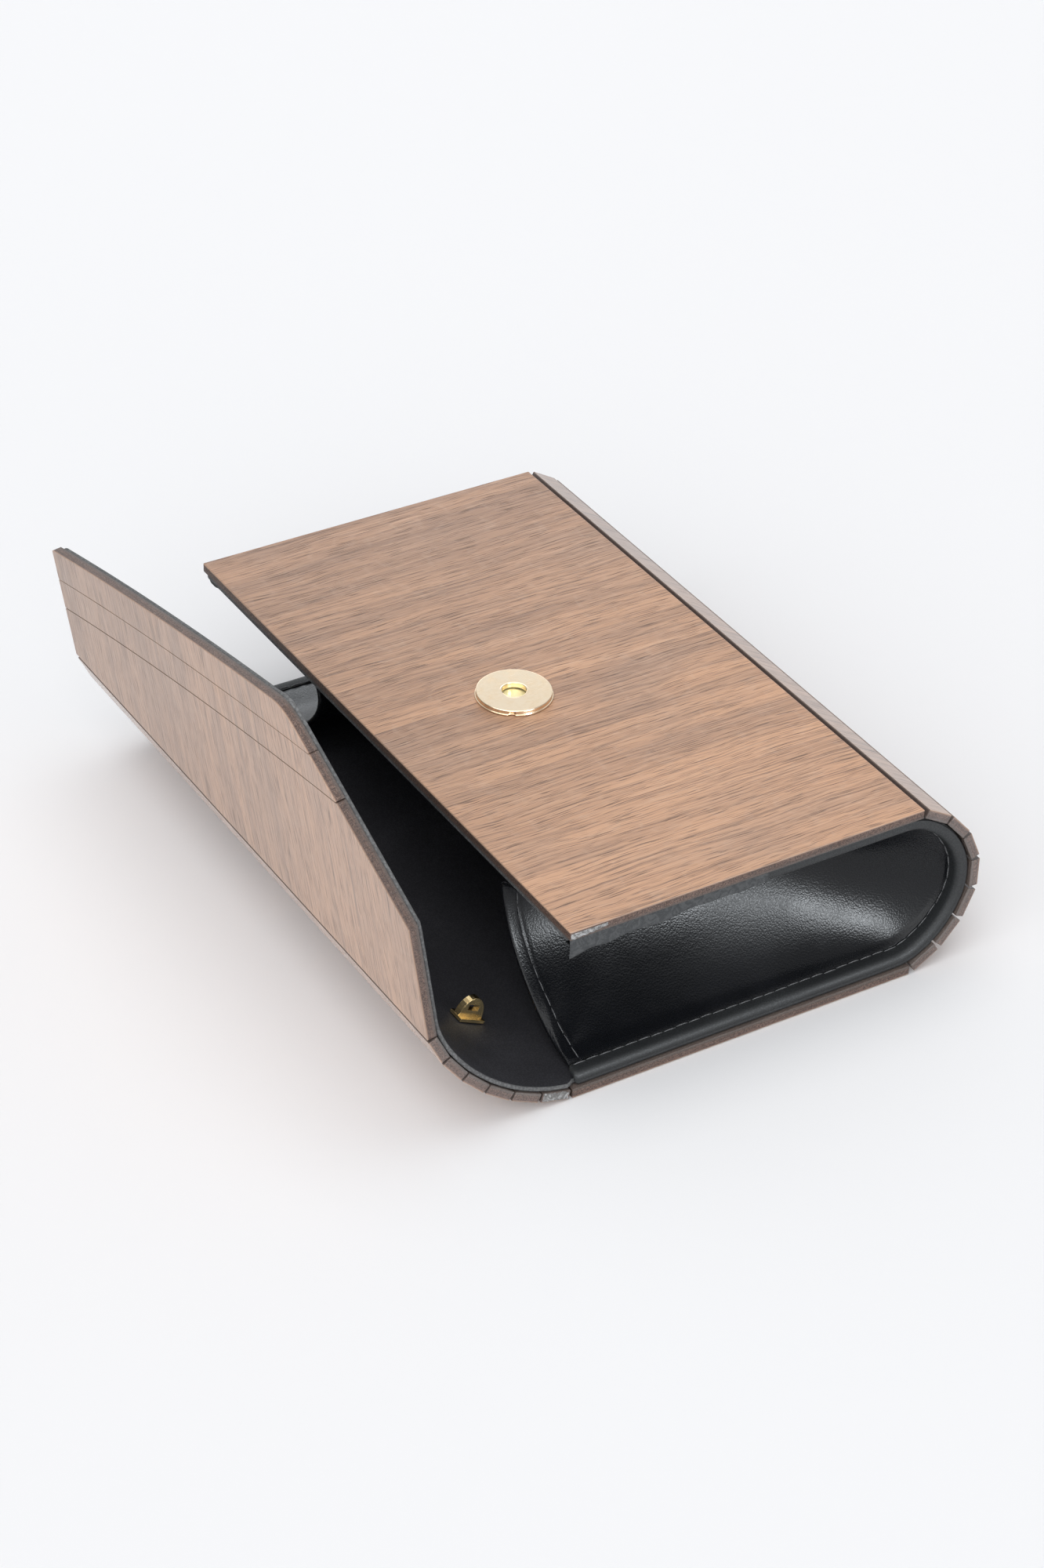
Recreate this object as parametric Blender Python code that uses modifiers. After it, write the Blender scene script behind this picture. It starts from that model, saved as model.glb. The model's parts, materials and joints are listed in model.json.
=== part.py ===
"""Walnut-veneer clutch case with kerf-bent slatted bends, lying on its back panel, flap standing open.

The origin is the centre of the back panel's outer face. +X runs from the flap to the bottom bend,
+Y along the mouth from the near end to the far end, and +Z up through the back panel to the front.
Each stretch of board is a frame: it starts on the kerf line at its inner face, its local X lies
along the board, its local Z points into the case, and its local Y is the case's Y.
"""

import math

import bmesh
import bpy
from mathutils import Matrix, Vector

# Driving dimensions, in metres and degrees.
WIDTH = 0.168
BACK_LENGTH = 0.0890
FRONT_LENGTH = 0.0907
WOOD = 0.0023
LINING = 0.0009
GAP = 0.0003
FIT = 0.0001
CUT_MARGIN = 0.001
WELD = 1e-5

# The kerf-bent stretches: slat pitch and saw cut along the inner face, and the turn at each kerf.
PITCH = 0.00756
KERF = 0.00035
TOP_TURNS = (14.0, 11.5, 10.5, 9.0, 8.5, 10.5, 17.2)
BOTTOM_TURNS = (30.5, 18.0, 18.0, 23.5, 23.5, 18.0, 18.0, 30.5)
MOUTH_KERF = 3
SLAT_LINING_SLIT = 0.0011
LINING_INSET = 0.0006
BOARD_BEVEL = 0.0002
BEVEL_ANGLE = 40.0

# The flap: straight sides, a taper at the near end up to the apex, and a bowed free edge.
FLAP_SIDE = 0.0305
APEX_Y = -0.0393
APEX_UP = 0.0603
EDGE_BULGE = 0.0014
EDGE_STEPS = 14
APEX_ROUND = 0.0045
APEX_STEPS = 5
HALVINGS = 40
STRIP_RISE = 0.0083
STRIP_GAP = 0.0003
HAIRLINE_GAP = 0.00016

# The binding along each open end, and the gusset stitched behind it.
BINDING_WIDTH = 0.0031
BINDING_THICK = 0.0012
BINDING_RECESS = 0.0014
BINDING_SLIT = 0.0018
GUSSET_THICK = 0.0008
GUSSET_DEPTH = 0.0305
GUSSET_INSET = 0.002
GUSSET_SWEEP = 84.0
# Each gusset's fold: its height as a share, the fullness below and above it, and the mouth's recess.
FOLD_NEAR = (0.85, 0.68, 1.0, 0.0)
FOLD_FAR = (0.50, 0.55, 0.55, 0.0075)
GUSSET_COLUMNS = 14
GUSSET_ROWS = 12
GUSSET_BEND_START = 0.005
GUSSET_BEND_CLEAR = 0.0024

# The magnetic snap, in two halves that meet when the flap is shut.
SNAP_X = 0.0356
SNAP_Y = -0.0013
SNAP_ON_FLAP = 0.0343
SNAP_RADIUS = 0.009
SNAP_HEIGHT = 0.0014
SNAP_SKIN = 0.0003
SNAP_SIDE = 0.0008
SNAP_EDGE = 0.0005
SNAP_HOLE = 0.00285
HOLE_EDGE = 0.0003
FLANGE_OUT = 0.0001
FLANGE_TOP = 0.0004
SNAP_BASE_RADIUS = 0.0080
SNAP_BASE_THICK = 0.0004
SNAP_SEAT_DEPTH = 0.0006
MALE_HEIGHT = 0.0012
MALE_EDGE = 0.0004
STUD_RADIUS = 0.0022
STUD_HEIGHT = 0.0010
STEM_RADIUS = 0.0015
WASHER_RADIUS = 0.006
WASHER_THICK = 0.0005
RECESS_DEPTH = 0.0008
TURN_STEPS = 40

# The two chain anchors, on the second slat of the top bend.
ANCHOR_Y = 0.0565
ANCHOR_BASE = (0.0066, 0.0044, 0.0007)
ANCHOR_HEIGHT = 0.0054
ANCHOR_THICK = 0.0018
ANCHOR_SLOT = (0.0028, 0.0014)
ANCHOR_SLOT_LOW = 0.00227
ANCHOR_STEM = 0.0008
ANCHOR_STEM_DEPTH = 0.0012
ANCHOR_HOLE_DEPTH = 0.0016
ANCHOR_STEPS = 16

MOUTH_X = BACK_LENGTH / 2 - FRONT_LENGTH
HALF = WIDTH / 2


def clear_scene():
    for obj in list(bpy.data.objects):
        bpy.data.objects.remove(obj, do_unlink=True)


def make_collection(name):
    collection = bpy.data.collections.new(name)
    bpy.context.scene.collection.children.link(collection)
    return collection


clear_scene()
CASE = make_collection("clutch_case")
CUTTERS = make_collection("cutters")


def make_material(name, color, roughness, metallic=0.0):
    material = bpy.data.materials.new(name)
    material.use_nodes = True
    shader = material.node_tree.nodes["Principled BSDF"]
    shader.inputs["Base Color"].default_value = (*color, 1.0)
    shader.inputs["Roughness"].default_value = roughness
    shader.inputs["Metallic"].default_value = metallic
    return material


WALNUT = make_material("walnut_veneer", (0.34, 0.22, 0.15), 0.55)
LEATHER = make_material("black_leatherette", (0.012, 0.013, 0.016), 0.45)
BINDING = make_material("grey_binding", (0.035, 0.037, 0.041), 0.5)
GOLD = make_material("gold_plate", (0.86, 0.62, 0.34), 0.22, 1.0)
STEEL = make_material("zinc_steel", (0.55, 0.55, 0.56), 0.4, 1.0)
FERRITE = make_material("ferrite", (0.05, 0.05, 0.055), 0.7)


def frame_matrix(point, side, turned):
    """Rotates a board frame by its turn from the back panel and puts it on its kerf line."""
    turn = Matrix.Rotation(-side * math.radians(turned), 4, "Y")
    return Matrix.Translation((point[0], 0.0, point[1])) @ turn


def bend_frames(side, turns):
    """The frame of each slat along a bend, and last the frame of the panel that the bend carries."""
    point = Vector((side * BACK_LENGTH / 2, WOOD))
    turned = 0.0
    frames = []
    for turn in turns:
        turned += turn
        frames.append(frame_matrix(point, side, turned))
        angle = math.radians(turned)
        point = point + PITCH * Vector((side * math.cos(angle), math.sin(angle)))
    return frames


TOP_FRAMES = bend_frames(-1, TOP_TURNS)
BOTTOM_FRAMES = bend_frames(1, BOTTOM_TURNS)
DEPTH = BOTTOM_FRAMES[-1].translation.z + WOOD


def make_body(name, matrix):
    """An empty on the joint's axis, which carries every piece of one rigid body."""
    empty = bpy.data.objects.new("axis_" + name, None)
    empty.matrix_world = matrix
    CASE.objects.link(empty)
    return empty


BACK_BODY = make_body("back", Matrix.Identity(4))
FRONT_BODY = make_body("front", Matrix.Translation(BOTTOM_FRAMES[MOUTH_KERF].translation))
SLAT_BODIES = [make_body(f"top_slat_{i + 1}", frame) for i, frame in enumerate(TOP_FRAMES[:-1])]
FLAP_BODY = make_body("flap", TOP_FRAMES[-1])


def add_object(name, data, matrix, material, body):
    obj = bpy.data.objects.new(name, data)
    CASE.objects.link(obj)
    obj.matrix_world = matrix
    if material is not None:
        obj.data.materials.append(material)
    if body is not None:
        obj.parent = body
        obj.matrix_parent_inverse = body.matrix_world.inverted()
    return obj


def box_mesh(name, low, high):
    bm = bmesh.new()
    bmesh.ops.create_cube(bm, size=1.0)
    size = Vector(high) - Vector(low)
    middle = (Vector(high) + Vector(low)) / 2
    bmesh.ops.scale(bm, vec=size, verts=bm.verts)
    bmesh.ops.translate(bm, vec=middle, verts=bm.verts)
    mesh = bpy.data.meshes.new(name)
    bm.to_mesh(mesh)
    bm.free()
    return mesh


def add_bevel(obj, width, segments=2):
    bevel = obj.modifiers.new("edge", "BEVEL")
    bevel.width = width
    bevel.segments = segments
    bevel.limit_method = "ANGLE"
    bevel.angle_limit = math.radians(BEVEL_ANGLE)


def add_board(name, frame, side, length, body):
    """A veneered board or slat: it runs from the kerf line along the frame, its outer face outside."""
    ends = sorted((side * KERF / 2, side * (length - KERF / 2)))
    mesh = box_mesh(name, (ends[0], -HALF, -WOOD), (ends[1], HALF, 0.0))
    obj = add_object(name, mesh, frame, WALNUT, body)
    add_bevel(obj, BOARD_BEVEL)
    return obj


def outline_curve(name, outlines, thickness):
    """A flat plate from closed outlines; a second outline inside the first is a hole."""
    curve = bpy.data.curves.new(name, "CURVE")
    curve.dimensions = "2D"
    curve.fill_mode = "BOTH"
    curve.extrude = thickness / 2
    for outline in outlines:
        spline = curve.splines.new("POLY")
        spline.points.add(len(outline) - 1)
        for point, place in zip(spline.points, outline):
            point.co = (place[0], place[1], 0.0, 1.0)
        spline.use_cyclic_u = True
    return curve


def add_plate(name, outlines, thickness, matrix, material, body):
    return add_object(name, outline_curve(name, outlines, thickness), matrix, material, body)


def as_mesh(obj):
    """Turns a curve object into a welded mesh object of the same name and place, ready for a Boolean."""
    bpy.context.view_layer.update()
    evaluated = obj.evaluated_get(bpy.context.evaluated_depsgraph_get())
    mesh = bpy.data.meshes.new_from_object(evaluated)
    bm = bmesh.new()
    bm.from_mesh(mesh)
    bmesh.ops.remove_doubles(bm, verts=bm.verts, dist=WELD)
    bmesh.ops.recalc_face_normals(bm, faces=bm.faces)
    bm.to_mesh(mesh)
    bm.free()
    name = obj.name
    matrix = obj.matrix_world.copy()
    body = obj.parent
    bpy.data.objects.remove(obj, do_unlink=True)
    solid = add_object(name, mesh, matrix, None, body)
    return solid


def cylinder_mesh(name, radius, low, high, segments=TURN_STEPS):
    bm = bmesh.new()
    bmesh.ops.create_cone(
        bm, cap_ends=True, segments=segments, radius1=radius, radius2=radius, depth=high - low
    )
    bmesh.ops.translate(bm, vec=(0.0, 0.0, (high + low) / 2), verts=bm.verts)
    mesh = bpy.data.meshes.new(name)
    bm.to_mesh(mesh)
    bm.free()
    return mesh


def add_cutter(name, mesh, matrix):
    cutter = bpy.data.objects.new(name, mesh)
    cutter.matrix_world = matrix
    cutter.hide_render = True
    cutter.display_type = "WIRE"
    CUTTERS.objects.link(cutter)
    return cutter


def combine(obj, other, operation):
    boolean = obj.modifiers.new(operation.lower(), "BOOLEAN")
    boolean.operation = operation
    boolean.object = other


def add_turned(name, profile, matrix, material, body):
    """A turned piece: its profile runs down the outer side, from the top of the axis to the bottom."""
    bm = bmesh.new()
    points = [bm.verts.new((radius, 0.0, height)) for radius, height in profile]
    closed = profile[0][0] > 0.0
    for first, second in zip(points, points[1:]):
        bm.edges.new((first, second))
    if closed:
        bm.edges.new((points[-1], points[0]))
    mesh = bpy.data.meshes.new(name)
    bm.to_mesh(mesh)
    bm.free()
    obj = add_object(name, mesh, matrix, material, body)
    screw = obj.modifiers.new("turn", "SCREW")
    screw.steps = TURN_STEPS
    screw.render_steps = TURN_STEPS
    screw.use_merge_vertices = True
    screw.merge_threshold = WELD
    screw.use_smooth_shade = True
    return obj


def build_wood():
    back = Matrix.Translation((-BACK_LENGTH / 2, 0.0, WOOD))
    add_board("back_panel", back, 1, BACK_LENGTH, BACK_BODY)
    for i, frame in enumerate(BOTTOM_FRAMES[:-1]):
        body = BACK_BODY if i < MOUTH_KERF else FRONT_BODY
        add_board(f"bottom_slat_{i + 1}", frame, 1, PITCH, body)
    front = add_board("front_panel", BOTTOM_FRAMES[-1], 1, FRONT_LENGTH + KERF / 2, FRONT_BODY)
    slats = []
    for i, frame in enumerate(TOP_FRAMES[:-1]):
        slats.append(add_board(f"top_slat_{i + 1}", frame, -1, PITCH, SLAT_BODIES[i]))
    return front, slats


def edge_up(y, lowered=0.0):
    """Height of the flap's free edge over its kerf line beyond the apex, or of a kerf parallel to it."""
    share = (y - APEX_Y) / (HALF - APEX_Y)
    chord = APEX_UP + share * (FLAP_SIDE - APEX_UP)
    return chord + 4 * EDGE_BULGE * share * (1 - share) - lowered


def taper_up(y):
    return FLAP_SIDE + (y + HALF) / (APEX_Y + HALF) * (APEX_UP - FLAP_SIDE)


def meeting_y(lowered):
    """Where a kerf parallel to the free edge runs out through the near taper."""
    low, high = -HALF, APEX_Y
    for _ in range(HALVINGS):
        middle = (low + high) / 2
        if taper_up(middle) < edge_up(middle, lowered):
            low = middle
        else:
            high = middle
    return low


def flap_line(lowered, inset=0.0):
    """Points from the near taper to the far side along the free edge or a kerf parallel to it."""
    start = meeting_y(lowered) if lowered > 0 else APEX_Y
    stop = HALF - inset
    places = [start + (stop - start) * i / EDGE_STEPS for i in range(EDGE_STEPS + 1)]
    points = [(y, edge_up(y, lowered)) for y in places]
    if lowered > 0:
        return points
    return rounded_apex(inset) + [p for p in points if p[0] > APEX_Y + APEX_ROUND]


def rounded_apex(inset=0.0):
    before = Vector((APEX_Y - APEX_ROUND, taper_up(APEX_Y - APEX_ROUND)))
    after = Vector((APEX_Y + APEX_ROUND, edge_up(APEX_Y + APEX_ROUND)))
    peak = Vector((APEX_Y, APEX_UP))
    points = []
    for i in range(APEX_STEPS + 1):
        t = i / APEX_STEPS
        spot = (1 - t) ** 2 * before + 2 * t * (1 - t) * peak + t**2 * after
        points.append((spot.x, spot.y))
    return points


def on_flap(points):
    """Turns (along the mouth, up the flap) places into the flap frame's own X and Y."""
    return [(-up, y) for y, up in points]


def build_flap():
    middle = TOP_FRAMES[-1] @ Matrix.Translation((0.0, 0.0, -WOOD / 2))
    foot = KERF / 2
    first = 2 * STRIP_RISE
    panel = [(-HALF, foot), (-HALF, FLAP_SIDE)] + flap_line(first + STRIP_GAP / 2) + [(HALF, foot)]
    inner = flap_line(first - STRIP_GAP / 2)
    inner += reversed(flap_line(STRIP_RISE + HAIRLINE_GAP / 2))
    edge = flap_line(STRIP_RISE - HAIRLINE_GAP / 2) + list(reversed(flap_line(0.0)))
    pieces = []
    for name, outline in (("flap_panel", panel), ("flap_strip_inner", inner), ("flap_strip_edge", edge)):
        flat = add_plate(name, [on_flap(outline)], WOOD, middle, WALNUT, FLAP_BODY)
        pieces.append(as_mesh(flat))
    skin = TOP_FRAMES[-1] @ Matrix.Translation((0.0, 0.0, GAP + LINING / 2))
    low = SLAT_LINING_SLIT / 2
    whole = [(-HALF, low), (-HALF, FLAP_SIDE)] + flap_line(0.0) + [(HALF, low)]
    narrowed = 1 - LINING_INSET / HALF
    inset = [(y * narrowed, up - LINING_INSET if up > low else up) for y, up in whole]
    flat = add_plate("flap_lining", [on_flap(inset)], LINING, skin, LEATHER, FLAP_BODY)
    return pieces, as_mesh(flat)


def kerf_line(frame):
    return Vector((frame.translation.x, frame.translation.z))


def shell_path(back_part, slit):
    """The inner face of the shell seen from its end, from the mouth round to the mouth hinge or on."""
    lines = [kerf_line(frame) for frame in BOTTOM_FRAMES]
    hinge = lines[MOUTH_KERF]
    if back_part:
        before = (lines[MOUTH_KERF - 1] - hinge).normalized()
        return [Vector((-BACK_LENGTH / 2, WOOD))] + lines[:MOUTH_KERF] + [hinge + slit * before]
    after = (lines[MOUTH_KERF + 1] - hinge).normalized()
    return [hinge + slit * after] + lines[MOUTH_KERF + 1 :] + [Vector((MOUTH_X, DEPTH - WOOD))]


def parallel(path, distance):
    """The path moved to its left by a distance, with mitred corners."""
    normals = []
    for first, second in zip(path, path[1:]):
        run = (second - first).normalized()
        normals.append(Vector((-run.y, run.x)))
    moved = [path[0] + distance * normals[0]]
    for point, before, after in zip(path[1:], normals, normals[1:]):
        moved.append(point + distance * (before + after) / (1 + before.dot(after)))
    moved.append(path[-1] + distance * normals[-1])
    return moved


def end_view(y):
    """Places an outline of X and Z in the plane across the case at y."""
    return Matrix.Translation((0.0, y, 0.0)) @ Matrix.Rotation(math.radians(90), 4, "X")


def trim_mouth(path, inset, at_start):
    end = 0 if at_start else -1
    path[end] = path[end] + Vector((inset, 0.0))
    return path


def build_linings():
    width = WIDTH - 2 * LINING_INSET
    for name, body, back_part in (("back_lining", BACK_BODY, True), ("front_lining", FRONT_BODY, False)):
        inset = SLAT_LINING_SLIT / 2 if back_part else LINING_INSET
        path = trim_mouth(shell_path(back_part, LINING_INSET), inset, back_part)
        outline = parallel(path, GAP) + list(reversed(parallel(path, GAP + LINING)))
        flat = add_plate(name, [outline], width, end_view(0.0), LEATHER, body)
        yield as_mesh(flat)
    ends = (-PITCH + SLAT_LINING_SLIT / 2, -SLAT_LINING_SLIT / 2)
    half = width / 2
    for i, frame in enumerate(TOP_FRAMES[:-1]):
        name = f"top_slat_lining_{i + 1}"
        mesh = box_mesh(name, (ends[0], -half, GAP), (ends[1], half, GAP + LINING))
        yield add_object(name, mesh, frame, LEATHER, SLAT_BODIES[i])


def build_bindings():
    start = 2 * GAP + LINING
    for end, sign in (("near", -1), ("far", 1)):
        middle = sign * (HALF - BINDING_RECESS - BINDING_THICK / 2)
        for part, body, back_part in (("back", BACK_BODY, True), ("front", FRONT_BODY, False)):
            path = trim_mouth(shell_path(back_part, BINDING_SLIT), BINDING_RECESS, back_part)
            outline = parallel(path, start) + list(reversed(parallel(path, start + BINDING_WIDTH)))
            name = f"binding_{part}_{end}"
            add_plate(name, [outline], BINDING_THICK, end_view(middle), BINDING, body)


def fold_share(up, fold):
    """How far in the gusset stands at a share of its height, as a part of the deepest."""
    at, below, above, _ = fold
    if up < at:
        return math.sin(math.pi / 2 * up / at) ** below
    return max(0.0, math.cos(math.pi / 2 * (up - at) / (1 - at))) ** above


def gusset_mesh(sign, fold):
    """An inward-folding bowl: deepest at the mouth, and flat where the binding holds it."""
    border = HALF - BINDING_RECESS - BINDING_THICK - GAP
    clear = WOOD + 2 * GAP + LINING + GUSSET_THICK
    half_height = DEPTH / 2 - clear
    straight = BACK_LENGTH / 2 - GUSSET_BEND_START
    reach = BOTTOM_FRAMES[MOUTH_KERF].translation.x - GUSSET_BEND_CLEAR - straight
    start = -BACK_LENGTH / 2 + GUSSET_INSET
    bm = bmesh.new()
    rows = []
    for i in range(GUSSET_COLUMNS + 1):
        along = math.sin(i / GUSSET_COLUMNS * math.radians(GUSSET_SWEEP))
        x = start + along * (straight + reach - start)
        past = max(0.0, (x - straight) / reach)
        height = half_height * math.sqrt(1 - past**2)
        depth = GUSSET_DEPTH * (1 - along**2)
        row = []
        for j in range(GUSSET_ROWS + 1):
            up = j / GUSSET_ROWS
            y = border - depth * fold_share(up, fold)
            recess = fold[3] * (1 - along) ** 2 * math.sin(math.pi * up)
            row.append(bm.verts.new((x + recess, sign * y, DEPTH / 2 + (2 * up - 1) * height)))
        rows.append(row)
    for first, second in zip(rows, rows[1:]):
        for j in range(GUSSET_ROWS):
            bm.faces.new((first[j], second[j], second[j + 1], first[j + 1]))
    bmesh.ops.recalc_face_normals(bm, faces=bm.faces)
    mesh = bpy.data.meshes.new("gusset")
    bm.to_mesh(mesh)
    bm.free()
    mesh.shade_smooth()
    return mesh


def build_gussets():
    for end, sign, fold in (("near", -1, FOLD_NEAR), ("far", 1, FOLD_FAR)):
        obj = add_object(f"gusset_{end}", gusset_mesh(sign, fold), Matrix.Identity(4), LEATHER, BACK_BODY)
        shell = obj.modifiers.new("leatherette", "SOLIDIFY")
        shell.thickness = GUSSET_THICK
        shell.offset = 1.0 if obj.data.polygons[0].normal.y * sign < 0 else -1.0


def snap_frames():
    """Where the two halves sit: on the front panel's outer face, and on the flap's inner face."""
    female = Matrix.Translation((MOUTH_X + SNAP_X, SNAP_Y, DEPTH))
    male = TOP_FRAMES[-1] @ Matrix.Translation((-SNAP_ON_FLAP, SNAP_Y, 0.0))
    return female, male


def add_washer(name, high, matrix, body):
    ring = STEM_RADIUS + GAP
    low = high - WASHER_THICK
    profile = [(WASHER_RADIUS, high), (WASHER_RADIUS, low), (ring, low), (ring, high)]
    add_turned(name, profile, matrix, STEEL, body)


def build_female(female, front):
    """The half with the magnet: a base riveted through the panel, a ring magnet and a gold cover."""
    base_top = -FIT
    base_low = base_top - SNAP_BASE_THICK
    washer_top = RECESS_DEPTH - WOOD - FIT
    stem_low = washer_top - WASHER_THICK
    base = [(0.0, base_top), (SNAP_BASE_RADIUS, base_top), (SNAP_BASE_RADIUS, base_low)]
    base += [(STEM_RADIUS, base_low), (STEM_RADIUS, stem_low), (0.0, stem_low)]
    add_turned("snap_female_base", base, female, STEEL, FRONT_BODY)
    add_washer("snap_female_washer", washer_top, female, FRONT_BODY)
    side = SNAP_RADIUS - FLANGE_OUT
    inside = SNAP_RADIUS - SNAP_SIDE
    roof = SNAP_HEIGHT - SNAP_SKIN
    wall = SNAP_HOLE + SNAP_SKIN
    cover = [(SNAP_HOLE + HOLE_EDGE, SNAP_HEIGHT), (side - SNAP_EDGE, SNAP_HEIGHT)]
    cover += [(side, SNAP_HEIGHT - SNAP_EDGE), (side, FLANGE_TOP + FLANGE_OUT)]
    cover += [(SNAP_RADIUS, FLANGE_TOP), (SNAP_RADIUS, FIT), (inside, FIT), (inside, roof)]
    cover += [(wall, roof), (wall, 2 * FIT), (SNAP_HOLE, 2 * FIT)]
    cover += [(SNAP_HOLE, SNAP_HEIGHT - HOLE_EDGE)]
    add_turned("snap_female_cover", cover, female, GOLD, FRONT_BODY)
    outer = inside - GAP
    inner = wall + GAP
    magnet = [(outer, roof - FIT), (outer, FIT), (inner, FIT), (inner, roof - FIT)]
    add_turned("snap_magnet", magnet, female, FERRITE, FRONT_BODY)
    seat = cylinder_mesh("seat", SNAP_BASE_RADIUS + GAP, -SNAP_SEAT_DEPTH, CUT_MARGIN)
    stem = cylinder_mesh("stem", STEM_RADIUS + GAP, -WOOD - CUT_MARGIN, 0.0)
    recess = cylinder_mesh("recess", WASHER_RADIUS + GAP, -WOOD - CUT_MARGIN, RECESS_DEPTH - WOOD)
    for mesh in (seat, stem, recess):
        combine(front, add_cutter(f"cut_snap_{mesh.name}", mesh, female), "DIFFERENCE")


def build_male(male, pieces, lining):
    """The plain half: a disc and stud on the flap's lining, held by a washer let into the wood."""
    face = 2 * GAP + LINING
    top = face + MALE_HEIGHT
    peak = top + STUD_HEIGHT
    stem_low = 2 * FIT - RECESS_DEPTH
    disc = [(0.0, peak), (STUD_RADIUS - HOLE_EDGE, peak), (STUD_RADIUS, peak - HOLE_EDGE)]
    disc += [(STUD_RADIUS, top), (SNAP_RADIUS - MALE_EDGE, top), (SNAP_RADIUS, top - MALE_EDGE)]
    disc += [(SNAP_RADIUS, face), (STEM_RADIUS, face), (STEM_RADIUS, stem_low), (0.0, stem_low)]
    add_turned("snap_male_disc", disc, male, GOLD, FLAP_BODY)
    add_washer("snap_male_washer", stem_low + WASHER_THICK, male, FLAP_BODY)
    recess = cylinder_mesh("male_recess", WASHER_RADIUS + GAP, -RECESS_DEPTH, CUT_MARGIN)
    recess_cut = add_cutter("cut_male_recess", recess, male)
    for piece in pieces:
        combine(piece, recess_cut, "DIFFERENCE")
    stem = cylinder_mesh("male_stem", STEM_RADIUS + GAP, -CUT_MARGIN, face + CUT_MARGIN)
    combine(lining, add_cutter("cut_male_stem", stem, male), "DIFFERENCE")


def anchor_outline():
    """A half-round lug standing on its straight side, and the slot that a chain clip passes through."""
    arc = []
    for i in range(ANCHOR_STEPS + 1):
        angle = math.pi * i / ANCHOR_STEPS
        arc.append((ANCHOR_BASE[0] / 2 * math.cos(angle), ANCHOR_HEIGHT * math.sin(angle)))
    half = ANCHOR_SLOT[0] / 2
    high = ANCHOR_SLOT_LOW + ANCHOR_SLOT[1]
    slot = [(-half, ANCHOR_SLOT_LOW), (half, ANCHOR_SLOT_LOW), (half, high), (-half, high)]
    return [arc, slot]


def build_anchors(slat, lining):
    face = 2 * GAP + LINING
    length, width, thick = ANCHOR_BASE
    for end, sign in (("near", -1), ("far", 1)):
        foot = TOP_FRAMES[1] @ Matrix.Translation((-PITCH / 2, sign * ANCHOR_Y, face))
        stem = cylinder_mesh("anchor_stem", ANCHOR_STEM, -face - ANCHOR_STEM_DEPTH, thick / 2, ANCHOR_STEPS)
        stem_tool = add_cutter(f"add_anchor_stem_{end}", stem, foot)
        upright = foot @ Matrix.Rotation(math.radians(90), 4, "X")
        lug = outline_curve(f"lug_{end}", anchor_outline(), ANCHOR_THICK)
        lug_curve = add_object(f"lug_{end}", lug, upright, None, None)
        lug_mesh = as_mesh(lug_curve)
        CASE.objects.unlink(lug_mesh)
        CUTTERS.objects.link(lug_mesh)
        lug_mesh.hide_render = True
        lug_mesh.display_type = "WIRE"
        low = (-length / 2, -width / 2, 0.0)
        high = (length / 2, width / 2, thick)
        plate = add_object(f"chain_anchor_{end}", box_mesh("plate", low, high), foot, GOLD, SLAT_BODIES[1])
        combine(plate, lug_mesh, "UNION")
        combine(plate, stem_tool, "UNION")
        bore = ANCHOR_STEM + GAP
        hole = cylinder_mesh("anchor_hole", bore, -face - ANCHOR_HOLE_DEPTH, CUT_MARGIN, ANCHOR_STEPS)
        hole_cut = add_cutter(f"cut_anchor_{end}", hole, foot)
        combine(slat, hole_cut, "DIFFERENCE")
        combine(lining, hole_cut, "DIFFERENCE")


def main():
    front, slats = build_wood()
    flap_pieces, flap_lining = build_flap()
    linings = {lining.name: lining for lining in build_linings()}
    build_bindings()
    build_gussets()
    female, male = snap_frames()
    build_female(female, front)
    build_male(male, flap_pieces[:2], flap_lining)
    build_anchors(slats[1], linings["top_slat_lining_2"])


main()
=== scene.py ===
import json
import math
from collections import namedtuple

import bmesh
import bpy
import numpy as np
from mathutils import Matrix, Vector, noise


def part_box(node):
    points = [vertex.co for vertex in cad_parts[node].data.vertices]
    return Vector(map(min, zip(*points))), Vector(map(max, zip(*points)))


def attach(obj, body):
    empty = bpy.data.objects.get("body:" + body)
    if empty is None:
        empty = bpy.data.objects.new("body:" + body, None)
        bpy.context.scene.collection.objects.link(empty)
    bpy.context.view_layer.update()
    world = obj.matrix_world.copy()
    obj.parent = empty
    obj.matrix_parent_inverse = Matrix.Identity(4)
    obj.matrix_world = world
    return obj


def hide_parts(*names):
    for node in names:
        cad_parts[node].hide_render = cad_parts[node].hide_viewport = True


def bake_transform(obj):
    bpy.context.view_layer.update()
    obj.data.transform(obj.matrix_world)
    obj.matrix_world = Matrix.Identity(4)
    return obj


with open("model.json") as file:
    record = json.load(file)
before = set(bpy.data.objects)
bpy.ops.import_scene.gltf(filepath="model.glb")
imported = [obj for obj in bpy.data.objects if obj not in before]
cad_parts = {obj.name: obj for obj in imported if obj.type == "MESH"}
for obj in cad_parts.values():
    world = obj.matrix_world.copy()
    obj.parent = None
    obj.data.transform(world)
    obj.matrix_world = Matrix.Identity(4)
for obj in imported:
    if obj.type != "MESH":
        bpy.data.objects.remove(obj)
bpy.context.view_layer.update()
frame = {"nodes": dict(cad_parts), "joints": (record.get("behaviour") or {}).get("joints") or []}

NODES = frame["nodes"]
JOINTS = {joint["name"]: joint for joint in frame["joints"]}
SCENE = bpy.context.scene
MM = 0.001

# ---------------------------------------------------------------- reading the boards

BACK_LOW, BACK_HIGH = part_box("back_panel")
FRONT_LOW, FRONT_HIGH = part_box("front_panel")
WOOD = BACK_HIGH.z - BACK_LOW.z
DEPTH = FRONT_HIGH.z
HALF = BACK_HIGH.y
CASE_MIDDLE = Vector((0.0, 0.0, DEPTH / 2))
ACROSS = Vector((0.0, 1.0, 0.0))
UNEVEN = Vector((0.31, 0.77, 0.55))

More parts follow.
